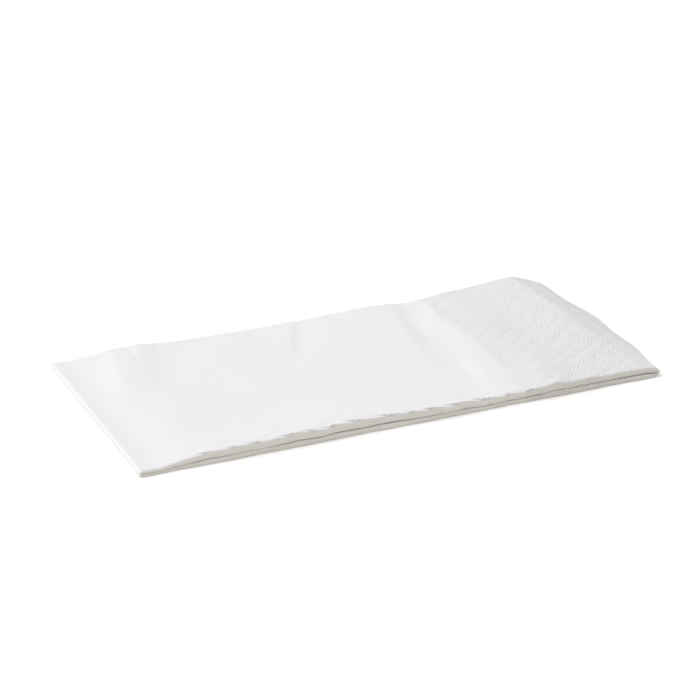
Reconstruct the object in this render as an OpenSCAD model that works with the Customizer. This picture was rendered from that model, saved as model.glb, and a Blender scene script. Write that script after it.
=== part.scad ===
// A dinner napkin of two-ply tissue, folded to an eighth of its flat size.
// The square sheet is folded in half three times: twice along its length, which
// makes a strip of four leaves, and once across, which makes eight. The long side
// at -Y shows the folds of all the leaves. The long side at +Y has a fold and two
// free edges in each half. The cross fold is at -X and the open end at +X.
// The napkin lies on its flat underside, with the origin at the middle of it.

/* [Folded size] */
// Length, from the cross fold to the open end
napkin_length = 200; // [160:1:250]
// Width, between the two long sides
napkin_width = 100; // [75:1:125]

/* [Tissue] */
// Thickness of the sheet, both plies together
sheet_thickness = 0.2; // [0.12:0.01:0.3]
// Air between two leaves where the folding rollers pressed them together
pressed_gap = 0.08; // [0.05:0.01:0.15]
// How far the free edges stop short of the long side
edge_setback = 1.2; // [0.6:0.1:2.5]

/* [Embossed border] */
// Width of the embossed border along the edges of the sheet
border_width = 50; // [35:1:60]
// How much thicker the napkin is at the border, where the embossing holds the leaves apart
border_rise = 0.9; // [0.4:0.1:1.5]
// Length over which it grows thicker, half of it on each side of the border's edge
border_rise_length = 14; // [8:1:20]

/* [Dip across the napkin] */
// Distance from the dip to the border, along the middle of the napkin
dip_distance = 16; // [12:1:22]
// How much nearer the border the dip comes along each millimetre towards the back
dip_lean = 0.16; // [0:0.02:0.2]
// Half of the dip's length
dip_reach = 12; // [9:1:15]
// Share of the loft that is pressed out at the bottom of the dip, at the back
dip_share = 0.7; // [0:0.05:0.9]

/* [Loft] */
// How much the leaves spring apart away from the cross fold
body_rise = 0.8; // [0.3:0.1:1.2]
// Length over which they spring apart
body_rise_length = 28; // [15:1:40]
// Further rise along the folded long side
side_rise = 1; // [0:0.1:1.5]
// Width of that rise
side_rise_width = 30; // [15:1:40]
// Lift of the back corner of the open end, where every leaf is free
corner_lift = 2.8; // [0:0.1:3.5]
// Length of the drooping end
droop_length = 14; // [8:1:16]
// Share of the loft that is lost at the very end
droop_share = 0.9; // [0:0.05:0.9]

/* [Hidden] */

// One leaf and the air above it, where the leaves are pressed together
leaf_pitch = sheet_thickness + pressed_gap;
// Leaves in each half of the folded napkin, above and below the cross fold
half_leaves = 4;
last_leaf = half_leaves - 1;
// Share of the loft that opens between the two halves, which only the cross fold joins
middle_share = 0.3;
inner_gaps = 2 * last_leaf;

// The back half lifts more than the front half, and the change from one to the other
// takes this width on each side of the middle line
lift_reach = 0.4 * napkin_width;

// Centre line of the cross fold and of the folds along each long side
cross_x = -napkin_length / 2 + (half_leaves - 0.5) * leaf_pitch + sheet_thickness / 2;
front_y = -napkin_width / 2 + 1.5 * leaf_pitch + sheet_thickness / 2;
back_y = napkin_width / 2 - 0.5 * leaf_pitch - sheet_thickness / 2;
free_edge_y = napkin_width / 2 - edge_setback;

// Where the surface changes along the napkin, from the cross fold out
sprung_x = cross_x + body_rise_length;
open_x = napkin_length / 2;
border_x = open_x - border_width;
dip_x = border_x - dip_distance;
dip_start_x = dip_x - dip_lean * napkin_width / 2 - dip_reach;
full_border_x = border_x + border_rise_length / 2;
droop_x = open_x - droop_length;

// How far value has gone from low to high, from 0 to 1
function share_of(low, high, value) = min(max((value - low) / (high - low), 0), 1);

// Rises smoothly from 0 to 1 as value goes from low to high
function ease(low, high, value) =
    let (share = share_of(low, high, value))
    share * share * (3 - 2 * share);

// Starts like ease, but still has its slope where it reaches 1
function slope_off(low, high, value) =
    let (share = share_of(low, high, value))
    share * share * (2 - share);

// A soft hump of height 1 that ends at reach on both sides of its middle
function hump(middle, reach, value) = ease(reach, 0, abs(value - middle));

// How far the top surface stands above the pressed thickness at a place
function loft(x, y) =
    let (
        front_side = hump(-napkin_width / 2, side_rise_width, y),
        back_half = ease(-lift_reach, lift_reach, y),
        rise = ease(cross_x, sprung_x, x)
            * (body_rise + side_rise * front_side * ease(open_x, border_x, x))
            + border_rise * ease(border_x - border_rise_length / 2, full_border_x, x)
            + corner_lift * back_half * ease(border_x, droop_x, x),
        dip = hump(dip_x + dip_lean * y, dip_reach, x),
        front_dip_share = dip_share / 2,
        dip_here = dip * (front_dip_share + (dip_share - front_dip_share) * back_half)
    )
    rise * (1 - dip_here) * (1 - droop_share * slope_off(droop_x, open_x, x));

// Height of a leaf's middle above the plane between the halves. Leaf 0 is the inmost.
function leaf_height(leaf, rise) =
    (leaf_pitch + middle_share * rise) / 2
    + leaf * (leaf_pitch + (1 - middle_share) * rise / inner_gaps);

// Across one half, as the sheet runs: each point is [y, leaf, offset direction y, z].
// The offset direction points from the middle of the sheet to one of its faces.
leaf_steps = 8;
function leaf_run(y_from, y_to, leaf, up) =
    [for (k = [0 : leaf_steps]) [y_from + (y_to - y_from) * k / leaf_steps, leaf, 0, up]];

// A fold from one leaf to another. Side is -1 for the front and 1 for the back, and
// inward is 1 where the offset direction points to the middle of the fold, or else -1.
function fold_run(y, side, leaf_from, leaf_to, inward, steps) =
    let (radius = abs(leaf_to - leaf_from) / 2, way = sign(leaf_to - leaf_from))
    [for (k = [1 : steps - 1])
        let (angle = 180 * k / steps)
        [
            y + side * radius * leaf_pitch * sin(angle),
            (leaf_from + leaf_to) / 2 - way * radius * cos(angle),
            -inward * side * sin(angle),
            inward * way * cos(angle)
        ]];

// The sheet's run starts at the free edge of leaf 1 and ends at the free edge of leaf 0
inner_fold_steps = 4;
outer_fold_steps = 6;
profile = concat(
    leaf_run(free_edge_y, front_y, 1, -1),
    fold_run(front_y, -1, 1, 2, -1, inner_fold_steps),
    leaf_run(front_y, back_y, 2, 1),
    fold_run(back_y, 1, 2, 3, 1, inner_fold_steps),
    leaf_run(back_y, front_y, 3, -1),
    fold_run(front_y, -1, 3, 0, 1, outer_fold_steps),
    leaf_run(front_y, free_edge_y, 0, 1)
);

// Along one half: the places of the steps, closer together where the surface bends
spring_steps = 4;
body_steps = 3;
dip_steps = 9;
border_steps = 4;
droop_steps = 5;
function stretch(x_from, x_to, steps) =
    [for (k = [0 : steps - 1]) x_from + (x_to - x_from) * k / steps];
straight = concat(
    stretch(cross_x, sprung_x, spring_steps),
    stretch(sprung_x, dip_start_x, body_steps),
    stretch(dip_start_x, full_border_x, dip_steps),
    stretch(full_border_x, droop_x, border_steps),
    stretch(droop_x, open_x, droop_steps),
    [open_x]
);

// Each station is [x, angle round the cross fold]: the upper half from the open end
// to the cross fold, round it, and the lower half out again
cross_steps = 6;
stations = concat(
    [for (k = [len(straight) - 1 : -1 : 0]) [straight[k], 0]],
    [for (k = [1 : cross_steps - 1]) [cross_x, 180 * k / cross_steps]],
    [for (x = straight) [x, 180]]
);

// A leaf further from the middle spends more of its length on the cross fold, so
// its free end stops shorter
function end_setback(leaf) = PI * leaf * leaf_pitch / 2;

// A point on one face of the sheet. Face is 1 or -1.
function sheet_point(station, place, face) =
    let (
        x = station[0],
        angle = station[1],
        rise = loft(x, min(max(place[0], front_y), back_y)),
        middle = leaf_height(last_leaf, rise) + sheet_thickness / 2,
        y = place[0] + face * place[2] * sheet_thickness / 2,
        height = leaf_height(place[1], rise) + face * place[3] * sheet_thickness / 2,
        end = x == open_x ? end_setback(place[1]) : 0
    )
    [x - end - height * sin(angle), y, middle + height * cos(angle)];

rows = len(stations);
columns = len(profile);
points = [
    for (face = [1, -1])
        for (station = stations)
            for (place = profile)
                sheet_point(station, place, face)
];

function corner(face, row, column) = (face * rows + row) * columns + column;

// Two triangles for a four-cornered patch, given in order round it
function patch(a, b, c, d) = [[a, b, c], [a, c, d]];

last_row = rows - 1;
last_column = columns - 1;
triangles = [
    for (row = [0 : last_row - 1], column = [0 : last_column - 1])
        each patch(
            corner(0, row, column), corner(0, row + 1, column),
            corner(0, row + 1, column + 1), corner(0, row, column + 1)
        ),
    for (row = [0 : last_row - 1], column = [0 : last_column - 1])
        each patch(
            corner(1, row, column), corner(1, row, column + 1),
            corner(1, row + 1, column + 1), corner(1, row + 1, column)
        ),
    for (row = [0 : last_row - 1])
        each patch(
            corner(0, row, 0), corner(1, row, 0),
            corner(1, row + 1, 0), corner(0, row + 1, 0)
        ),
    for (row = [0 : last_row - 1])
        each patch(
            corner(0, row, last_column), corner(0, row + 1, last_column),
            corner(1, row + 1, last_column), corner(1, row, last_column)
        ),
    for (column = [0 : last_column - 1])
        each patch(
            corner(0, 0, column), corner(0, 0, column + 1),
            corner(1, 0, column + 1), corner(1, 0, column)
        ),
    for (column = [0 : last_column - 1])
        each patch(
            corner(0, last_row, column), corner(1, last_row, column),
            corner(1, last_row, column + 1), corner(0, last_row, column + 1)
        )
];

// The folded sheet
module napkin() {
    color("white")
        polyhedron(points = points, faces = triangles, convexity = 16);
}

napkin();
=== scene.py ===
import math

import bmesh
import bpy
import numpy as np
from mathutils import Matrix, Vector, noise


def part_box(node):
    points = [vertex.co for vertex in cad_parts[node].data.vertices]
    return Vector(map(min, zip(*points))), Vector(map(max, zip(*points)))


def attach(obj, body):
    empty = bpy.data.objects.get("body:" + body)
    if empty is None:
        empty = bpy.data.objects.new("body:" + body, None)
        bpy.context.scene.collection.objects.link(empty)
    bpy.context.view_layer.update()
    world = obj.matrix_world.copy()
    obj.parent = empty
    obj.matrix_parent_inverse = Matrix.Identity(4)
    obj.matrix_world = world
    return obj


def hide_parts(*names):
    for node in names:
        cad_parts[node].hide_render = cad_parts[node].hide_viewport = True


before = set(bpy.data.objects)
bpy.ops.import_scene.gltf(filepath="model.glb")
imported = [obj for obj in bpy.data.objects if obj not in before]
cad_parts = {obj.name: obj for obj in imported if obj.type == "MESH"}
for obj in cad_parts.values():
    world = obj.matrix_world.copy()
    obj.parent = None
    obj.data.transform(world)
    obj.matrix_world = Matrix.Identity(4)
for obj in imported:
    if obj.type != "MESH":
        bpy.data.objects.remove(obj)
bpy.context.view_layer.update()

# The cut sheet: two plies of soft white tissue, held together by their embossing and cut
# square before folding. It lies flat here with its show face up, its length along X and
# its width along Y, with a closer mesh at the creases and at the embossed ends.
MM = 0.001
SHEET_THICKNESS = 0.2 * MM
PRESSED_GAP = 0.08 * MM
LEAF_PITCH = SHEET_THICKNESS + PRESSED_GAP
HALF_LEAVES = 4
BORDER_WIDTH = 55 * MM
EDGE_SETBACK = 1.2 * MM

# The centre lines of the folds in the folded napkin. Each lies as far inside as the leaves
# that go round it take up.
low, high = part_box("napkin")
open_x = high.x
cross_x = low.x + (HALF_LEAVES - 0.5) * LEAF_PITCH + SHEET_THICKNESS / 2
front_y = low.y + (HALF_LEAVES - 1) / 2 * LEAF_PITCH + SHEET_THICKNESS / 2
back_y = high.y - 0.5 * LEAF_PITCH - SHEET_THICKNESS / 2
panel_width = back_y - front_y

# A bend takes up paper by the number of leaves inside it, and the free edges of the sheet
# stop a little short of the back.
inner_bend = math.pi * LEAF_PITCH / 2
outer_bend = (HALF_LEAVES - 1) * inner_bend
half_length = open_x - cross_x + inner_bend / 2
half_width = 2 * panel_width - EDGE_SETBACK + 1.5 * LEAF_PITCH / 2 + 2 * inner_bend

# The closer mesh starts a little before the border.
MESH_MARGIN = 2 * MM
embossed_from = open_x - BORDER_WIDTH - MESH_MARGIN - cross_x


def spread(stops):
    """Places from the first stop to the last: each stop is (place, steps to the next)."""
    places = []
    for (start, steps), (end, _) in zip(stops, stops[1:]):
        places += [start + (end - start) * k / steps for k in range(steps)]
    return places + [stops[-1][0]]


# Each cut edge wanders in its own way, so the edges lie apart in the noise. The sheet is
# drawn in by it from the border on, and from the middle of the panels at the sides.
CUT_WANDER = 0.9 * MM
CUT_WAVE = 45 * MM
EDGES_APART = 3
END_SEED = 0.5
SIDE_SEED = 1.5
drawn_from = 1.5 * panel_width


def cut_place(x, y):
    """A place on the sheet, drawn in a little near its edges, which aren't cut quite straight."""
    end_share = max(abs(x) - embossed_from, 0) / (half_length - embossed_from)
    side_share = max(abs(y) - drawn_from, 0) / (half_width - drawn_from)
    end_wander = 0.5 + noise.noise((math.copysign(EDGES_APART, x), y / CUT_WAVE, END_SEED))
    side_wander = 0.5 + noise.noise((x / CUT_WAVE, math.copysign(EDGES_APART, y), SIDE_SEED))
    return (
        x - math.copysign(CUT_WANDER * end_share * end_wander, x),
        y - math.copysign(CUT_WANDER * side_share * side_wander, y),
        0,
    )


# Steps of the mesh from the cross fold to one end, and from one side to the other.
CREASE_STEPS = 3
BEND_STEPS = 2
PAST_BENDS = 4 * MM
PAST_BENDS_STEPS = 4
CLEAR_OF_FOLD = 18 * MM
BODY_STEPS = 30
BORDER_STEPS = 9
END_ZONE = 8 * MM
END_STEPS = 3
PANEL_STEPS = 24
HIDDEN_STEPS = 16
INNER_FOLD_STEPS = 6
OUTER_FOLD_STEPS = 8
cross_bends = [inner_bend * (leaf + 0.5) for leaf in range(HALF_LEAVES)]
half_rows = spread([
    (0, CREASE_STEPS),
    *[(place, BEND_STEPS) for place in cross_bends],
    (PAST_BENDS, PAST_BENDS_STEPS),
    (CLEAR_OF_FOLD, BODY_STEPS),
    (embossed_from, BORDER_STEPS),
    (half_length - END_ZONE, END_STEPS),
    (half_length, 0),
])
row_places = [-place for place in half_rows[:0:-1]] + half_rows
column_places = spread([
    (-half_width, HIDDEN_STEPS),
    (-panel_width - 2 * inner_bend, INNER_FOLD_STEPS),
    (-panel_width - inner_bend, HIDDEN_STEPS),
    (-inner_bend, INNER_FOLD_STEPS),
    (0, PANEL_STEPS),
    (panel_width, OUTER_FOLD_STEPS),
    (panel_width + outer_bend, HIDDEN_STEPS),
    (half_width, 0),
])

sheet_bm = bmesh.new()
grid = [[sheet_bm.verts.new((x, y, 0)) for y in column_places] for x in row_places]
for near, far in zip(grid, grid[1:]):
    for k in range(len(column_places) - 1):
        sheet_bm.faces.new((near[k], near[k + 1], far[k + 1], far[k]))

# The panel that ends up outside is in full view, above all on top and at the border, so
# each step of its mesh is cut again, and once more beside the front fold. The bend itself
# is cut along its length only. Each row is x from and to, y from and to, and the cuts.
CREASED_WIDTH = 5 * MM
FOLD_CUTS = 5
HAIR = 0.001 * MM
OUTSIDE_CUTS = [
    (embossed_from, half_length, 0, panel_width, 5),
    (CLEAR_OF_FOLD, embossed_from, 0, panel_width, 4),
    (-half_length, -embossed_from, 0, panel_width, 1),
    (CLEAR_OF_FOLD, half_length, panel_width - CREASED_WIDTH, panel_width, 1),
]


def cut_again(edges, cuts):
    """Cuts each of the edges, and the faces between them."""
    bmesh.ops.subdivide_edges(sheet_bm, edges=edges, cuts=cuts, use_grid_fill=True)


def centred_in(face, x_from, x_to, y_from, y_to):
    """Whether the middle of the face lies in that stretch of the sheet."""
    middle = face.calc_center_median()
    return x_from < middle.x < x_to and y_from < middle.y < y_to


for *stretch, cuts in OUTSIDE_CUTS:
    cut_again([
        edge for edge in sheet_bm.edges
        if any(centred_in(face, *stretch) for face in edge.link_faces)
    ], cuts)
cut_again([
    edge for edge in sheet_bm.edges
    if abs(edge.verts[0].co.x + edge.verts[1].co.x) / 2 > CLEAR_OF_FOLD
    and abs(edge.verts[0].co.y - edge.verts[1].co.y) < HAIR
    and panel_width + HAIR < edge.verts[0].co.y < panel_width + outer_bend + HAIR
], FOLD_CUTS)

# The map of the sheet gives each point its place on the flat cut, as a share of it.
sheet_map = sheet_bm.loops.layers.uv.new("sheet")
for face in sheet_bm.faces:
    for loop in face.loops:
        place = loop.vert.co
        loop[sheet_map].uv = (place.x / (2 * half_length) + 0.5, place.y / (2 * half_width) + 0.5)
for vertex in sheet_bm.verts:
    vertex.co = cut_place(vertex.co.x, vertex.co.y)
sheet_mesh = bpy.data.meshes.new("cut_sheet")
sheet_bm.to_mesh(sheet_mesh)
sheet_bm.free()
cut_sheet = bpy.data.objects.new("cut_sheet", sheet_mesh)
bpy.context.scene.collection.objects.link(cut_sheet)

# The embossing: engraved rollers press a row of slanting lobes into the border of the
# flat sheet. Each lobe has a round nose towards the middle of the sheet and runs on to
# the edge between two pressed lines, and puffs up a little between them.
LOBE_SPACING = 9 * MM
LOBE_SLANT = math.radians(41)
PUFF_HEIGHT = 0.07 * MM
PUFF_REACH = 3 * MM
FADE = 1.2 * MM
NOSE_MARGIN = 1.6 * MM
MATH = "ShaderNodeMath"


def add_node(tree, kind, inputs=(), **settings):
    """Adds a node with its settings. An input takes a value, a socket, or a node's first output."""
    added = tree.nodes.new(kind)
    for name, value in settings.items():
        setattr(added, name, value)
    for name, value in dict(inputs).items():
        if isinstance(value, bpy.types.Node):
            value = value.outputs[0]
        if isinstance(value, bpy.types.NodeSocket):
            tree.links.new(value, added.inputs[name])
        else:
            added.inputs[name].default_value = value
    return added


# The mesh takes the soft relief from this group, and the tissue the crisp lines. It parts
# the border into slanted strips, one to a lobe. Inside is how far a place lies within its
# lobe, and Past nose how far it lies behind the lobe's tip.
lobe_groups = {}
for kind in ("GeometryNodeTree", "ShaderNodeTree"):
    lobes = bpy.data.node_groups.new("Slanting lobes", kind)
    lobe_groups[kind] = lobes
    for name in ("Into border", "Along border", "Spacing", "Slant"):
        lobes.interface.new_socket(name, in_out="INPUT", socket_type="NodeSocketFloat")
    for name in ("Inside", "Past nose"):
        lobes.interface.new_socket(name, in_out="OUTPUT", socket_type="NodeSocketFloat")
    given = add_node(lobes, "NodeGroupInput").outputs
    into, along = given["Into border"], given["Along border"]
    sine = add_node(lobes, MATH, {0: given["Slant"]}, operation="SINE")
    cosine = add_node(lobes, MATH, {0: given["Slant"]}, operation="COSINE")
    tangent = add_node(lobes, MATH, {0: given["Slant"]}, operation="TANGENT")
    lobe_width = add_node(lobes, MATH, {0: given["Spacing"], 1: cosine}, operation="MULTIPLY")
    one_side = add_node(lobes, MATH, {0: lobe_width, 1: 0.5}, operation="MULTIPLY")
    other_side = add_node(lobes, MATH, {0: lobe_width, 1: -0.5}, operation="MULTIPLY")
    into_sine = add_node(lobes, MATH, {0: into, 1: sine}, operation="MULTIPLY")
    along_cosine = add_node(lobes, MATH, {0: along, 1: cosine}, operation="MULTIPLY")
    across = add_node(lobes, MATH, {0: along_cosine, 1: into_sine}, operation="SUBTRACT")
    off_axis = add_node(lobes, MATH, {0: across, 1: one_side, 2: other_side}, operation="WRAP")
    whole = add_node(lobes, MATH, {0: across, 1: off_axis}, operation="SUBTRACT")
    shift = add_node(lobes, MATH, {0: whole, 1: tangent}, operation="MULTIPLY")
    along_sine = add_node(lobes, MATH, {0: along, 1: sine}, operation="MULTIPLY")
    ahead = add_node(lobes, MATH, {0: into, 1: cosine, 2: along_sine}, operation="MULTIPLY_ADD")
    past_nose = add_node(lobes, MATH, {0: ahead, 1: shift}, operation="SUBTRACT")
    past_centre = add_node(lobes, MATH, {0: past_nose, 1: one_side}, operation="SUBTRACT")
    in_nose = add_node(lobes, MATH, {0: past_centre, 1: 0.0}, operation="MINIMUM")
    reach = add_node(lobes, "ShaderNodeCombineXYZ", {"X": off_axis, "Y": in_nose})
    from_axis = add_node(lobes, "ShaderNodeVectorMath", {0: reach}, operation="LENGTH")
    off_centre = from_axis.outputs["Value"]
    inside = add_node(lobes, MATH, {0: one_side, 1: off_centre}, operation="SUBTRACT")
    add_node(lobes, "NodeGroupOutput", {"Inside": inside, "Past nose": past_nose})

# The folds: the folding machine lays the sheet over itself three times and presses
# each crease. The show face ends up outside, with the middle crease at the back and
# the two quarter creases at the front. The last fold is across, at the left end.
fold_over = bpy.data.node_groups.new("Fold over", "GeometryNodeTree")
for name in ("Past crease", "Height", "Fold centre", "Bend share"):
    fold_over.interface.new_socket(name, in_out="INPUT", socket_type="NodeSocketFloat")
for name in ("Past crease", "Height"):
    fold_over.interface.new_socket(name, in_out="OUTPUT", socket_type="NodeSocketFloat")
given = add_node(fold_over, "NodeGroupInput").outputs
fold_centre, sheet_height = given["Fold centre"], given["Height"]
radius = add_node(fold_over, MATH, {0: fold_centre, 1: sheet_height}, operation="SUBTRACT")
bend = add_node(fold_over, MATH, {0: radius, 1: math.pi}, operation="MULTIPLY")
past_start = add_node(fold_over, MATH, {
    0: bend, 1: given["Bend share"], 2: given["Past crease"],
}, operation="MULTIPLY_ADD")
turned = add_node(fold_over, MATH, {0: past_start, 1: radius}, operation="DIVIDE")
angle = add_node(fold_over, "ShaderNodeClamp", {"Value": turned, "Min": 0.0, "Max": math.pi})
before = add_node(fold_over, MATH, {0: past_start, 1: 0.0}, operation="MINIMUM")
past_end = add_node(fold_over, MATH, {0: past_start, 1: bend}, operation="SUBTRACT")
after = add_node(fold_over, MATH, {0: past_end, 1: 0.0}, operation="MAXIMUM")
straight = add_node(fold_over, MATH, {0: before, 1: after}, operation="SUBTRACT")
sine = add_node(fold_over, MATH, {0: angle}, operation="SINE")
cosine = add_node(fold_over, MATH, {0: angle}, operation="COSINE")
bulge = add_node(fold_over, MATH, {0: sine, 1: radius, 2: straight}, operation="MULTIPLY_ADD")
drop = add_node(fold_over, MATH, {0: cosine, 1: radius}, operation="MULTIPLY")
raised = add_node(fold_over, MATH, {0: fold_centre, 1: drop}, operation="SUBTRACT")
add_node(fold_over, "NodeGroupOutput", {"Past crease": bulge, "Height": raised})

folding = bpy.data.node_groups.new("Napkin folding", "GeometryNodeTree")
folding.interface.new_socket("Geometry", in_out="OUTPUT", socket_type="NodeSocketGeometry")
folding.interface.new_socket("Geometry", in_out="INPUT", socket_type="NodeSocketGeometry")
SIZES = {
    "Leaf pitch": LEAF_PITCH,
    "Panel width": panel_width,
    "Front fold": front_y,
    "Cross fold": cross_x,
    "Half length": half_length,
    "Border width": BORDER_WIDTH,
    "Lobe spacing": LOBE_SPACING,
    "Lobe slant": LOBE_SLANT,
    "Puff height": PUFF_HEIGHT,
    "Puff reach": PUFF_REACH,
    "Nose margin": NOSE_MARGIN,
    "Fade": FADE,
}
for name in SIZES:
    folding.interface.new_socket(name, in_out="INPUT", socket_type="NodeSocketFloat")
folding.interface.new_socket("Tissue", in_out="INPUT", socket_type="NodeSocketMaterial")
given = add_node(folding, "NodeGroupInput").outputs
position = add_node(folding, "GeometryNodeInputPosition")
flat = add_node(folding, "ShaderNodeSeparateXYZ", {0: position}).outputs

# The relief belongs to the flat sheet, so it is worked out before the folds.
inner_edge = add_node(folding, MATH, {
    0: given["Half length"], 1: given["Border width"],
}, operation="SUBTRACT")
from_middle = add_node(folding, MATH, {0: flat["X"]}, operation="ABSOLUTE")
into_border = add_node(folding, MATH, {0: from_middle, 1: inner_edge}, operation="SUBTRACT")
across_sheet = add_node(folding, MATH, {0: 0.0, 1: flat["Y"]}, operation="SUBTRACT")
lobe = add_node(folding, "GeometryNodeGroup", {
    "Into border": into_border,
    "Along border": across_sheet,
    "Spacing": given["Lobe spacing"],
    "Slant": given["Lobe slant"],
}, node_tree=lobe_groups["GeometryNodeTree"])
relief = add_node(folding, "ShaderNodeMapRange", {
    "Value": lobe.outputs["Inside"],
    "From Min": 0.0,
    "From Max": given["Puff reach"],
    "To Min": 0.0,
    "To Max": given["Puff height"],
}, interpolation_type="SMOOTHSTEP")
before_far_crease = add_node(folding, MATH, {
    0: given["Panel width"], 1: flat["Y"],
}, operation="SUBTRACT")
before_noses = add_node(folding, MATH, {
    0: into_border, 1: given["Nose margin"],
}, operation="ADD")
for distance in (before_noses, flat["Y"], before_far_crease):
    share = add_node(folding, "ShaderNodeMapRange", {
        "Value": distance, "From Min": 0.0, "From Max": given["Fade"],
    }, interpolation_type="SMOOTHSTEP")
    relief = add_node(folding, MATH, {0: relief, 1: share}, operation="MULTIPLY")
embossed = add_node(folding, "GeometryNodeStoreNamedAttribute", {
    "Geometry": given["Geometry"], "Name": "relief", "Value": relief,
}, data_type="FLOAT", domain="POINT")

# Each fold turns a place past its crease over, at the height where the leaf then lies. The
# heights are counted in leaves, down from the plane between the halves of the napkin. The
# cross fold has half of its bend on each side of its crease.
pitch = given["Leaf pitch"]
sheet_level = add_node(folding, MATH, {0: pitch, 1: 0.5 - HALF_LEAVES}, operation="MULTIPLY")
middle_crease = add_node(folding, MATH, {0: pitch, 1: 1.0 - HALF_LEAVES}, operation="MULTIPLY")
quarter_crease = add_node(folding, MATH, {0: pitch, 1: -HALF_LEAVES / 2}, operation="MULTIPLY")
halved = add_node(folding, "GeometryNodeGroup", {
    "Past crease": across_sheet, "Height": sheet_level, "Fold centre": middle_crease,
}, node_tree=fold_over)
away = add_node(folding, MATH, {0: -1.0, 1: halved}, operation="MULTIPLY")
past_quarter = add_node(folding, MATH, {0: away, 1: given["Panel width"]}, operation="SUBTRACT")
quartered = add_node(folding, "GeometryNodeGroup", {
    "Past crease": past_quarter, "Height": halved.outputs["Height"], "Fold centre": quarter_crease,
}, node_tree=fold_over)
crossed = add_node(folding, "GeometryNodeGroup", {
    "Past crease": flat["X"], "Height": quartered.outputs["Height"], "Bend share": 0.5,
}, node_tree=fold_over)
place_x = add_node(folding, MATH, {0: given["Cross fold"], 1: crossed}, operation="SUBTRACT")
place_y = add_node(folding, MATH, {0: given["Front fold"], 1: quartered}, operation="SUBTRACT")
folded_place = add_node(folding, "ShaderNodeCombineXYZ", {
    "X": place_x, "Y": place_y, "Z": crossed.outputs["Height"],
})
folded = add_node(folding, "GeometryNodeSetPosition", {"Geometry": embossed, "Position": folded_place})
realized = add_node(folding, "GeometryNodeRealizeInstances", {"Geometry": folded})
finished = add_node(folding, "GeometryNodeSetMaterial", {
    "Geometry": realized, "Material": given["Tissue"],
})
add_node(folding, "NodeGroupOutput", {"Geometry": finished})


def linear(colour):
    """The linear colour of an sRGB hex colour such as #F3F3F1."""
    shares = [int(colour[k:k + 2], 16) / 255 for k in (1, 3, 5)]
    return [
        share / 12.92 if share <= 0.04045 else ((share + 0.055) / 1.055) ** 2.4
        for share in shares
    ] + [1]


# The tissue: dry-creped pulp, so the eye gets a soft matt white with a slight fuzz, fine
# crepe ridges across the sheet and faint clouds of fibres. The embossed border is painted
# a little greyer, as painted shade of its relief. The lengths are in millimetres on the flat sheet.
TISSUE_WHITE = "#F6F6F6"
CLOUD_WHITE = "#F1F1F0"
BORDER_PAINTED_SHADE = "#EBEBEB"
CLOUD_SIZE = 2.5

# Crepe of 0.3 mm is drawn at 0.7 mm, because it would be too fine to show.
CREPE_SPACING = 0.7
CREPE_LENGTH = 4.0
CREPE_DEPTH = 0.03

tissue = bpy.data.materials.new("creped_two_ply_tissue")
tissue.use_nodes = True
tree = tissue.node_tree
tree.nodes.clear()
sheet_place = add_node(tree, "ShaderNodeUVMap", uv_map="sheet")
on_sheet = add_node(tree, "ShaderNodeMapping", {
    "Vector": sheet_place,
    "Location": (-half_length / MM, -half_width / MM, 0),
    "Scale": (2 * half_length / MM, 2 * half_width / MM, 1),
})
crepe_place = add_node(tree, "ShaderNodeMapping", {
    "Vector": on_sheet, "Scale": (1 / CREPE_SPACING, 1 / CREPE_LENGTH, 1),
})
crepe = add_node(tree, "ShaderNodeTexNoise", {"Vector": crepe_place, "Scale": 1.0, "Detail": 2.0})
clouds = add_node(tree, "ShaderNodeTexNoise", {
    "Vector": on_sheet, "Scale": 1 / CLOUD_SIZE, "Detail": 3.0,
})

# Sockets 6 and 7 of a Mix node are its two colours, and output 2 is the mixed one.
plain_white = add_node(tree, "ShaderNodeMix", {
    "Factor": clouds, 6: linear(CLOUD_WHITE), 7: linear(TISSUE_WHITE),
}, data_type="RGBA")

# The lobes' lines are pressed thin and sharp, and the border's painted shade starts softly.
LINE_PRINT_REACH = 0.42
LINE_PRINT_DEPTH = 0.1
EDGE_SOFTNESS = 1.5
flat_place = add_node(tree, "ShaderNodeSeparateXYZ", {"Vector": on_sheet}).outputs
from_middle = add_node(tree, MATH, {0: flat_place["X"]}, operation="ABSOLUTE")
border_edge = (half_length - BORDER_WIDTH) / MM
into_border = add_node(tree, MATH, {0: from_middle, 1: border_edge}, operation="SUBTRACT")
along_border = add_node(tree, MATH, {0: 0.0, 1: flat_place["Y"]}, operation="SUBTRACT")
lobe = add_node(tree, "ShaderNodeGroup", {
    "Into border": into_border,
    "Along border": along_border,
    "Spacing": LOBE_SPACING / MM,
    "Slant": LOBE_SLANT,
}, node_tree=lobe_groups["ShaderNodeTree"])
off_line = add_node(tree, MATH, {0: lobe.outputs["Inside"]}, operation="ABSOLUTE")
print_height = add_node(tree, "ShaderNodeMapRange", {
    "Value": off_line,
    "From Min": 0.0,
    "From Max": LINE_PRINT_REACH,
    "To Min": -LINE_PRINT_DEPTH,
    "To Max": 0.0,
}, interpolation_type="SMOOTHSTEP")
in_border = add_node(tree, "ShaderNodeMapRange", {
    "Value": into_border, "From Min": -EDGE_SOFTNESS, "From Max": EDGE_SOFTNESS,
})
# Painted shade: the border's white is mixed to a greyer one.
white = add_node(tree, "ShaderNodeMix", {
    "Factor": in_border, 6: plain_white.outputs[2], 7: linear(BORDER_PAINTED_SHADE),
}, data_type="RGBA")

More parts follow.
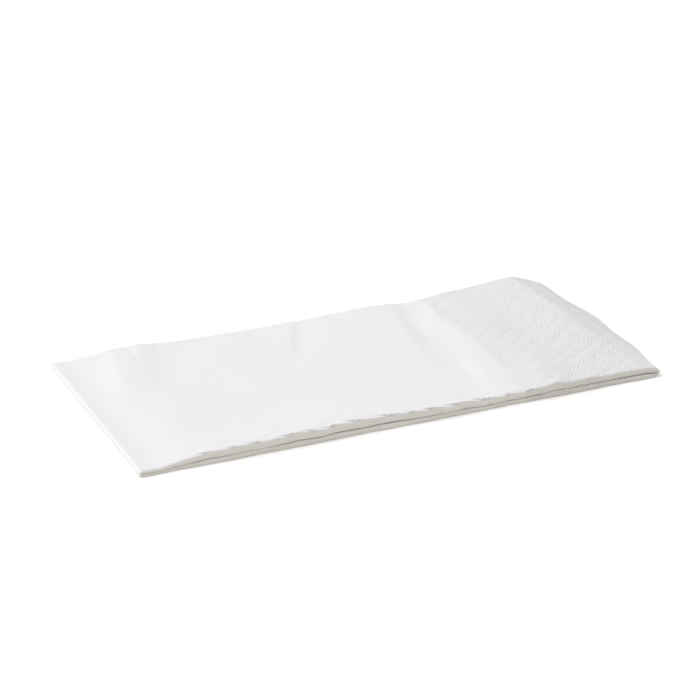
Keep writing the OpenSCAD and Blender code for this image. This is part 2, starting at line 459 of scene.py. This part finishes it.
# The ground between the lines is a field of small uneven grains. They start some way past
# the lobes' noses, and sooner along the lines.
GRAIN_START = 9.0
GRAIN_FULL = 24.0
LINE_GRAIN_REACH = 2.4
LINE_GRAIN_SHARE = 0.6
past_noses = add_node(tree, "ShaderNodeMapRange", {
    "Value": lobe.outputs["Past nose"], "From Min": GRAIN_START, "From Max": GRAIN_FULL,
}, interpolation_type="SMOOTHSTEP")
along_lines = add_node(tree, "ShaderNodeMapRange", {
    "Value": off_line,
    "From Min": LINE_PRINT_REACH,
    "From Max": LINE_GRAIN_REACH,
    "To Min": LINE_GRAIN_SHARE,
    "To Max": 0.0,
}, interpolation_type="SMOOTHSTEP")
by_lines = add_node(tree, MATH, {0: along_lines, 1: in_border}, operation="MULTIPLY")
grain_share = add_node(tree, MATH, {0: past_noses, 1: by_lines}, operation="MAXIMUM")

# The grains lie in ragged slanting rows. The middle of their noise is spread out, so that
# each grain stands clear of the next. Socket 4 is their direction on the flat sheet.
GRAIN_SPACING = 1.5
GRAIN_LENGTH = 2.0
GRAIN_SLANT = math.radians(56)
GRAIN_ORDER = 0.65
GRAIN_DEPTH = 0.17
GRAIN_LOW = 0.3
GRAIN_HIGH = 0.7
grains = add_node(tree, "ShaderNodeTexGabor", {
    "Vector": on_sheet,
    "Scale": 1 / GRAIN_LENGTH,
    "Frequency": GRAIN_LENGTH / GRAIN_SPACING,
    "Anisotropy": GRAIN_ORDER,
    4: math.pi / 2 - GRAIN_SLANT,
})
even_grains = add_node(tree, "ShaderNodeMapRange", {
    "Value": grains, "From Min": GRAIN_LOW, "From Max": GRAIN_HIGH,
}, interpolation_type="SMOOTHSTEP")

# They are pressed in patches, harder towards the front fold, and are rubbed flatter near
# the edge. The lines are rubbed alike, and are fainter where a patch is pressed hard.
PATCH_SIZE = 7.0
PATCH_START = 0.38
LINE_PATCH_START = 0.42
PATCH_FULL = 0.6
OFF_PATCH_SHARE = 0.2
FRONT_PRESSED_FROM = 60.0
BACK_SHARE = 0.5
RUBBED_FROM = 11.0
RUBBED_TO = 4.0
RUBBED_SHARE = 0.3
LINE_PATCH_SHARE = 0.5
patches = add_node(tree, "ShaderNodeTexNoise", {
    "Vector": on_sheet, "Scale": 1 / PATCH_SIZE, "Detail": 2.0,
})
patch_pressure = add_node(tree, "ShaderNodeMapRange", {
    "Value": patches,
    "From Min": PATCH_START,
    "From Max": PATCH_FULL,
    "To Min": OFF_PATCH_SHARE,
    "To Max": 1.0,
})
front_pressure = add_node(tree, "ShaderNodeMapRange", {
    "Value": flat_place["Y"],
    "From Min": 0.0,
    "From Max": FRONT_PRESSED_FROM,
    "To Min": BACK_SHARE,
    "To Max": 1.0,
})
unrubbed = add_node(tree, "ShaderNodeMapRange", {
    "Value": into_border,
    "From Min": BORDER_WIDTH / MM - RUBBED_FROM,
    "From Max": BORDER_WIDTH / MM - RUBBED_TO,
    "To Min": 1.0,
    "To Max": RUBBED_SHARE,
})
pressure = add_node(tree, MATH, {0: patch_pressure, 1: front_pressure}, operation="MULTIPLY")
pressure = add_node(tree, MATH, {0: pressure, 1: unrubbed}, operation="MULTIPLY")
pressed_share = add_node(tree, MATH, {0: pressure, 1: grain_share}, operation="MULTIPLY")
grain_height = add_node(tree, MATH, {0: even_grains, 1: pressed_share}, operation="MULTIPLY")
line_pressure = add_node(tree, "ShaderNodeMapRange", {
    "Value": patches,
    "From Min": LINE_PATCH_START,
    "From Max": PATCH_FULL,
    "To Min": 1.0,
    "To Max": LINE_PATCH_SHARE,
})
line_share = add_node(tree, MATH, {0: unrubbed, 1: line_pressure}, operation="MULTIPLY")
line_height = add_node(tree, MATH, {0: print_height, 1: line_share}, operation="MULTIPLY")
fine_height = add_node(tree, MATH, {0: crepe, 1: CREPE_DEPTH, 2: line_height}, operation="MULTIPLY_ADD")
fine_height = add_node(tree, MATH, {
    0: grain_height, 1: -GRAIN_DEPTH, 2: fine_height,
}, operation="MULTIPLY_ADD")

# Wavy streaks run along the front folds, where the bend has crushed the tissue.
STREAK_SPACING = 0.7
STREAK_LENGTH = 6.0
STREAK_DEPTH = 0.8
fold_middle = (panel_width + outer_bend / 2) / MM
past_fold = add_node(tree, MATH, {0: flat_place["Y"], 1: fold_middle}, operation="SUBTRACT")
off_fold = add_node(tree, MATH, {0: past_fold}, operation="ABSOLUTE")
fold_share = add_node(tree, "ShaderNodeMapRange", {
    "Value": off_fold,
    "From Min": outer_bend / 2 / MM,
    "From Max": 2 * outer_bend / MM,
    "To Min": STREAK_DEPTH,
    "To Max": 0.0,
}, interpolation_type="SMOOTHSTEP")
streak_place = add_node(tree, "ShaderNodeMapping", {
    "Vector": on_sheet, "Scale": (1 / STREAK_LENGTH, 1 / STREAK_SPACING, 1),
})
streaks = add_node(tree, "ShaderNodeTexNoise", {"Vector": streak_place, "Scale": 1.0, "Detail": 2.0})
fine_height = add_node(tree, MATH, {0: streaks, 1: fold_share, 2: fine_height}, operation="MULTIPLY_ADD")
pressed_face = add_node(tree, "ShaderNodeBump", {"Strength": 1.0, "Distance": MM, "Height": fine_height})
paper = add_node(tree, "ShaderNodeBsdfPrincipled", {
    "Base Color": white.outputs[2],
    "Roughness": 0.92,
    "Specular IOR Level": 0.3,
    "Sheen Weight": 0.08,
    "Sheen Roughness": 0.6,
    "Normal": pressed_face,
})
add_node(tree, "ShaderNodeOutputMaterial", {"Surface": paper})

# The sheet is folded now, and becomes a plain mesh with the tissue on it.
press = cut_sheet.modifiers.new("folding", "NODES")
press.node_group = folding
sockets = {item.name: item.identifier for item in folding.interface.items_tree if item.in_out == "INPUT"}
for name, size in SIZES.items():
    press[sockets[name]] = size
press[sockets["Tissue"]] = tissue
bpy.context.view_layer.update()
depsgraph = bpy.context.evaluated_depsgraph_get()
folded_mesh = bpy.data.meshes.new_from_object(
    cut_sheet.evaluated_get(depsgraph), preserve_all_data_layers=True, depsgraph=depsgraph
)
bpy.data.objects.remove(cut_sheet)


# The loft: a pressed napkin springs apart where nothing holds it. The leaves lie close at
# the cross fold, stand off one another over the embossed border, and most of all at the
# free back corner, and the show face keeps the soft ridges and dents of its packing.
def ease(start, end, value):
    """Rises smoothly from 0 to 1 as value goes from start to end."""
    share = np.clip((value - start) / (end - start), 0, 1)
    return share * share * (3 - 2 * share)


def slope_off(start, end, value):
    """Starts level, and soon goes on to 1 at an even slope."""
    level_share = 0.05
    share = np.clip((value - start) / (end - start), 0, 1)
    return share * share * (1 + level_share) / (share + level_share)


def hump(middle, reach, value):
    """A soft hump of height 1 that ends at reach on both sides of its middle."""
    return ease(reach, 0, np.abs(value - middle))


def wandering(seed, *places):
    """Smooth noise from about -0.5 to 0.5 at each of the places, the same on every run."""
    places = list(places) + [np.zeros_like(places[0])] * (2 - len(places))
    return np.array([noise.noise((a, b, seed)) for a, b in zip(*places)])


BODY_RISE = 0.8 * MM
BODY_RISE_LENGTH = 28 * MM
SIDE_RISE = 1.0 * MM
SIDE_RISE_WIDTH = 30 * MM
BORDER_RISE = 0.9 * MM
RISE_TO_END = 50 * MM
BORDER_RISE_LENGTH = 14 * MM
CORNER_LIFT = 2.8 * MM
DIP_DISTANCE = 16 * MM
DIP_LEAN = 0.16
DIP_REACH = 12 * MM
DIP_SHARE = 0.7
CORNER_START = 56 * MM
CORNER_END = 88 * MM
DROOP_START = 92.5 * MM
DROOP_END = 106 * MM
DROOP_SHARE = 0.92
LIFT_REACH_SHARE = 0.8
MIDDLE_SHARE = 0.3

count = len(folded_mesh.vertices)
points = np.zeros(count * 3)
folded_mesh.vertices.foreach_get("co", points)
points = points.reshape(-1, 3)
x, y, height = points.T.copy()
border_x = open_x - RISE_TO_END
level = np.abs(height)
upper = np.sign(height)
shares = (level / LEAF_PITCH - 0.5) / (HALF_LEAVES - 1)

# At the open end, where nothing joins the leaves, each has slid a little past the one
# below, and the upper half past the lower one. They slid less at the front, where their
# folds hold them, and in waves along the end.
LEAF_SLIP = 2.6 * MM
HALF_SLIP = 5.0 * MM
FREE_SHARE = 0.2
BACK_START_SHARE = 0.8
BACK_SLIP_SHARE = 0.95
END_WAVE_SHARE = 0.12
END_WAVE_LENGTH = 42 * MM
END_WAVE_CREST = 9 * MM
upper_half = (1 + upper) / 2
past_front = ease(low.y, FREE_SHARE * low.y, y)
at_back = ease(BACK_START_SHARE * high.y, high.y, y)
end_wave = 1 + np.cos(2 * math.pi * (y - END_WAVE_CREST) / END_WAVE_LENGTH)
along_end = past_front * (1 - (1 - BACK_SLIP_SHARE) * at_back)
along_end *= 1 + END_WAVE_SHARE * end_wave
slip = LEAF_SLIP * (1 + upper * shares) / 2 + HALF_SLIP * upper_half
slip *= along_end * ease(cross_x, open_x, x)

# The rise is how far the top of the napkin stands above its pressed height.
back_half = ease(LIFT_REACH_SHARE * low.y, LIFT_REACH_SHARE * high.y, y)
sprung = ease(cross_x, cross_x + BODY_RISE_LENGTH, x)
rise = sprung * (BODY_RISE + SIDE_RISE * hump(low.y, SIDE_RISE_WIDTH, y) * ease(open_x, border_x, x))
rise += BORDER_RISE * ease(border_x - BORDER_RISE_LENGTH / 2, border_x + BORDER_RISE_LENGTH / 2, x)
rise += CORNER_LIFT * back_half * ease(CORNER_START, CORNER_END, x)
past_dip = x - (border_x - DIP_DISTANCE + DIP_LEAN * y)
dip = hump(0, DIP_REACH, past_dip) * DIP_SHARE * (1 + back_half) / 2
rise *= (1 - dip) * (1 - DROOP_SHARE * slope_off(DROOP_START, DROOP_END, x + slip))

# Swellings and dents of the pack: middle (x, y), turn from the length in degrees, half of
# the length and of the width, height, all in millimetres, and the place of the crest
# between the right side (-1) and the left side (1). The narrow creases are in the top
# leaf alone.
SWELLINGS = {
    "bulge of the cross fold": (-99.5, 0, 90, 110, 4.5, 0.2, 0),
    "groove beside the cross fold": (-93, 0, 90, 110, 4, -0.2, -0.4),
    "back of the groove": (-93, 44, 88, 30, 4, -0.5, -0.4),
    "front of the groove": (-93, -44, 92, 24, 4, -0.5, -0.4),
    "ridge past the groove": (-77, 24, 80, 44, 12, 1.2, 0.4),
    "front of the ridge": (-76, -24, 88, 26, 15, 1.0, 0.4),
    "left swelling of the back edge": (-70, 54, 0, 20, 12, 0.1, 0),
    "hollow behind the ridge": (-62, 26, 70, 24, 9, -0.35, 0),
    "hollow along the back edge": (-22, 52, 0, 42, 26, -0.85, 0),
    "dent across the middle": (-5, 34, 68, 28, 9, -0.6, 0.6),
    "right swelling of the back edge": (22, 54, 0, 16, 30, 1.0, 0),
    "valley past the swelling": (34, 26, 78, 44, 8, -0.75, 0.2),
    "swelling before the border": (38, -22, 86, 28, 9, 0.6, 0.3),
}
CREASES = {
    "tick at the back edge": (-65, 45, 80, 12, 5, 0.6, 0.8),
    "crease before the border": (46, 40, 84, 15, 2.6, 0.4, 0.5),
    "nick in the cross fold": (-95, 2, 20, 5, 1.6, 0.3, 0),
}


def swellings(forms):
    """The height that the oval forms add up to at each point."""
    total = np.zeros(count)
    for centre_x, centre_y, turn, half_long, half_wide, swell, crest in forms.values():
        ahead, aside = x - centre_x * MM, y - centre_y * MM
        cosine, sine = math.cos(math.radians(turn)), math.sin(math.radians(turn))
        along = (ahead * cosine + aside * sine) / (half_long * MM)
        across = (aside * cosine - ahead * sine) / (half_wide * MM)
        both_flanks = ease(-1, crest, across) * ease(1, crest, across)
        total += swell * MM * ease(1, 0, np.abs(along)) * both_flanks
    return total


rise += swellings(SWELLINGS)

# Long soft waves run over the whole face, and short slanting ones along the front folds.
WAVE_HEIGHT = 0.7 * MM
WAVE_LENGTH = 24 * MM
WAVE_SQUEEZE = 0.7
FRONT_WAVE_HEIGHT = 0.55 * MM
FRONT_WAVE_LENGTH = 7 * MM
FRONT_WAVE_REACH = 12 * MM
FRONT_WAVE_LEAN = 1.5
rise += sprung * WAVE_HEIGHT * wandering(2.3, x / WAVE_LENGTH, WAVE_SQUEEZE * y / WAVE_LENGTH)
front_side = hump(low.y, FRONT_WAVE_REACH, y)
front_waves = wandering(5.1, (x - FRONT_WAVE_LEAN * y) / FRONT_WAVE_LENGTH)
rise += sprung * FRONT_WAVE_HEIGHT * front_side * front_waves

# The leaves don't share the loft quite evenly, and at the front the halves stay close. Where
# the leaves are pressed closer than the folding left them, all the gaps shrink alike.
UNEVENNESS = 0.22
HALVES_APART = 3
FRONT_CLOSING = 0.75
opened = np.maximum(rise, 0)
closed = np.minimum(rise, 0)
pressed_level = (HALF_LEAVES - 0.5) * LEAF_PITCH
uneven = wandering(7.7, x / WAVE_LENGTH + HALVES_APART * upper, y / WAVE_LENGTH)
shares += UNEVENNESS * np.sin(math.pi * shares) * uneven
middle_share = MIDDLE_SHARE * (1 + wandering(9.4, x / WAVE_LENGTH, y / WAVE_LENGTH))
middle_share *= 1 - FRONT_CLOSING * front_side
level *= 1 + closed / 2 / pressed_level
level += opened * (middle_share + (1 - middle_share) * shares) / 2
points[:, 2] = pressed_level + rise / 2 + SHEET_THICKNESS / 2 + upper * level

# The top leaf has nothing on it and lies loose.
LOOSE_TOP = 0.3 * MM
top_leaf = ease(1 - 1 / (HALF_LEAVES - 1), 1, upper * shares)
loosened = sprung * ease(DROOP_END, DROOP_START, x + slip)
points[:, 2] += top_leaf * (LOOSE_TOP * loosened + swellings(CREASES))

# It is also wider than its fold at the front needs, so it has laid itself in slanting
# pleats there. Each falls slowly to the right and ends a little under the next one.
PLEAT_SPACING = 9.5 * MM
SPACING_WANDER = 0.7
SPACING_WAVE = 2
PLEAT_HEIGHT = 1.1 * MM
HEIGHT_SHARE = 0.85
HEIGHT_WANDER = 0.6
HEIGHT_WAVE = 1.5
PLEAT_REACH = 5 * MM
PLEAT_SLANT = math.radians(27)
PLEAT_LIFT = 0.4
PLEAT_STEP = 0.06
PLEAT_OVERLAP = 0.6
PLEATED_SHARE = 0.35
PLEATS_FADE = 30 * MM
along_pleats = (x + (y - low.y) / math.tan(PLEAT_SLANT)) / PLEAT_SPACING
along_pleats += SPACING_WANDER * wandering(17.1, x / PLEAT_SPACING / SPACING_WAVE)
in_pleat = along_pleats - np.floor(along_pleats)
zigzag = 0.5 - in_pleat + ease(1 - PLEAT_STEP, 1, in_pleat)
height_wander = HEIGHT_WANDER * wandering(19.3, x / PLEAT_SPACING / HEIGHT_WAVE)
pleats_end = PLEATED_SHARE * open_x
pleated = PLEAT_HEIGHT * (HEIGHT_SHARE + height_wander)
pleated *= ease(pleats_end + PLEATS_FADE, pleats_end, x) * ease(low.y + PLEAT_REACH, low.y, y)
pleated *= top_leaf * sprung
points[:, 0] -= pleated * PLEAT_OVERLAP * zigzag * math.sin(PLEAT_SLANT)
points[:, 1] -= pleated * PLEAT_OVERLAP * zigzag * math.cos(PLEAT_SLANT)
points[:, 2] += pleated * (PLEAT_LIFT + zigzag)

# The end of the upper half hangs over the lower one and bends down to the table. The
# folds at the front aren't quite in line.
BEND_START = 0.5 * MM
END_BEND = 1.1 * MM
FOLD_WANDER = 0.7 * MM
FOLD_RIPPLE = 0.3 * MM
FOLD_WANDER_REACH = 30 * MM
FOLDS_APART = 2
points[:, 0] += slip
leaf_end = open_x - outer_bend * shares
bend_start = leaf_end - HALF_SLIP * along_end - BEND_START
points[:, 2] -= END_BEND * past_front * upper_half * slope_off(bend_start, leaf_end, x)
wander = FOLD_WANDER * wandering(11.2, x / WAVE_LENGTH, FOLDS_APART * upper)
wander += FOLD_RIPPLE * wandering(13.6, x / FRONT_WAVE_LENGTH, FOLDS_APART * upper)
points[:, 1] += wander * hump(low.y, FOLD_WANDER_REACH, y)
folded_mesh.vertices.foreach_set("co", points.ravel())
folded_mesh.update()

# The relief of the embossing stands out of the show face on top, and is pressed flat
# underneath, where the napkin lies on it.
normals = np.zeros(count * 3)
folded_mesh.vertices.foreach_get("normal", normals)
relief_heights = np.zeros(count)
folded_mesh.attributes["relief"].data.foreach_get("value", relief_heights)
relief_heights[height < 0] = np.minimum(relief_heights[height < 0], 0)
points += normals.reshape(-1, 3) * relief_heights[:, None]
folded_mesh.vertices.foreach_set("co", points.ravel())
folded_mesh.update()

# The thickness of the two plies goes on last, half of it on each side. Only the cut edges
# stay sharp.
SHARP_EDGE = math.radians(60)
lofted = bpy.data.objects.new("lofted_sheet", folded_mesh)
bpy.context.scene.collection.objects.link(lofted)
plies = lofted.modifiers.new("two_plies", "SOLIDIFY")
plies.thickness = SHEET_THICKNESS
plies.offset = 0
bpy.context.view_layer.update()
depsgraph = bpy.context.evaluated_depsgraph_get()
napkin_mesh = bpy.data.meshes.new_from_object(
    lofted.evaluated_get(depsgraph), preserve_all_data_layers=True, depsgraph=depsgraph
)
bpy.data.objects.remove(lofted)
napkin_mesh.shade_smooth()
napkin_mesh.set_sharp_from_angle(angle=SHARP_EDGE)
napkin = bpy.data.objects.new("folded_napkin", napkin_mesh)
bpy.context.scene.collection.objects.link(napkin)
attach(napkin, "root")
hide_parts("napkin")

# The table: a plain top of matt white laminate, wide enough to fill the view. The camera
# sees it a little brighter and cooler than it is lit, so that it is white around the
# napkin's shadow.
TABLE_HALF = 4
TABLE_WHITE = "#E6E1D8"
TABLE_GLOW = 0.45
GLOW_TINT = "#EEF5FF"
table_mesh = bpy.data.meshes.new("table")
table_bm = bmesh.new()
bmesh.ops.create_grid(table_bm, x_segments=1, y_segments=1, size=TABLE_HALF)
table_bm.to_mesh(table_mesh)
table_bm.free()
table = bpy.data.objects.new("table", table_mesh)
bpy.context.scene.collection.objects.link(table)
laminate = bpy.data.materials.new("white_laminate")
laminate.use_nodes = True
table_mesh.materials.append(laminate)
tree = laminate.node_tree
tree.nodes.clear()
matt = add_node(tree, "ShaderNodeBsdfDiffuse", {"Color": linear(TABLE_WHITE)})

# The glow shows to the camera, also in gloss and through glass, and lights nothing.
rays = add_node(tree, "ShaderNodeLightPath").outputs
seen = add_node(tree, MATH, {0: rays["Is Camera Ray"], 1: rays["Is Glossy Ray"]}, operation="ADD")
seen = add_node(tree, MATH, {0: seen, 1: rays["Is Transmission Ray"]}, operation="ADD", use_clamp=True)
glow_strength = add_node(tree, MATH, {0: seen, 1: TABLE_GLOW}, operation="MULTIPLY")
glow = add_node(tree, "ShaderNodeEmission", {"Color": linear(GLOW_TINT), "Strength": glow_strength})
both = add_node(tree, "ShaderNodeAddShader", {0: matt, 1: glow})
add_node(tree, "ShaderNodeOutputMaterial", {"Surface": both})

# The studio: an even white room, which lights the napkin from all sides, and one wide soft
# window high up behind it and to the left, which is a little cooler than the room.
ROOM_LIGHT = 0.59
ROOM_TINT = "#FFFBF3"
WINDOW_TINT = "#EDF2FF"
WINDOW_SIZE = 3.2
WINDOW_POWER = 173
WINDOW_PLACE = Vector((-3.2, 1.26, 4.0))
world = bpy.data.worlds.new("studio")
bpy.context.scene.world = world
world.use_nodes = True
tree = world.node_tree
tree.nodes.clear()

# The camera sees the room at a strength of 1, which is near to white.
rays = add_node(tree, "ShaderNodeLightPath").outputs
seen = add_node(tree, MATH, {0: rays["Is Camera Ray"], 1: rays["Is Glossy Ray"]}, operation="ADD")
seen = add_node(tree, MATH, {0: seen, 1: rays["Is Transmission Ray"]}, operation="ADD", use_clamp=True)
room = add_node(tree, "ShaderNodeMapRange", {"Value": seen, "To Min": ROOM_LIGHT, "To Max": 1.0})
air = add_node(tree, "ShaderNodeBackground", {"Color": linear(ROOM_TINT), "Strength": room})
add_node(tree, "ShaderNodeOutputWorld", {"Surface": air})

window_light = bpy.data.lights.new("window", "AREA")
window_light.shape = "SQUARE"
window_light.size = WINDOW_SIZE
window_light.energy = WINDOW_POWER
window_light.color = linear(WINDOW_TINT)[:3]
window = bpy.data.objects.new("window", window_light)
bpy.context.scene.collection.objects.link(window)
towards_napkin = (-WINDOW_PLACE).to_track_quat("-Z", "Y").to_matrix().to_4x4()
window.matrix_world = Matrix.Translation(WINDOW_PLACE) @ towards_napkin

# The camera: a long lens a little above the table, turned so that the cross fold and the
# folded side show. The square frame of 700 pixels is centred off the napkin, and the whole
# camera is then set lower, without a tilt.
AZIMUTH = math.radians(-24.76)
ELEVATION = math.radians(22.5)
DISTANCE = 718.8 * MM
FRAME_PIXELS = 700
FOCAL_PIXELS = 1933.4
ASIDE = -1.61 * MM
ABOVE = 35.36 * MM
LOWERED = 29.3 * MM
away = Vector((
    math.sin(AZIMUTH) * math.cos(ELEVATION),
    -math.cos(AZIMUTH) * math.cos(ELEVATION),
    math.sin(ELEVATION),
))
right = Vector((0, 0, 1)).cross(away).normalized()
up = away.cross(right)
lens = bpy.data.cameras.new("camera")
lens.sensor_width = 36
lens.lens = lens.sensor_width * FOCAL_PIXELS / FRAME_PIXELS
camera = bpy.data.objects.new("camera", lens)
bpy.context.scene.collection.objects.link(camera)
stand = away * DISTANCE + right * ASIDE + up * ABOVE - Vector((0, 0, LOWERED))
camera.matrix_world = Matrix.Translation(stand) @ Matrix((right, up, away)).transposed().to_4x4()
bpy.context.scene.camera = camera
bpy.context.scene.view_settings.view_transform = "Standard"
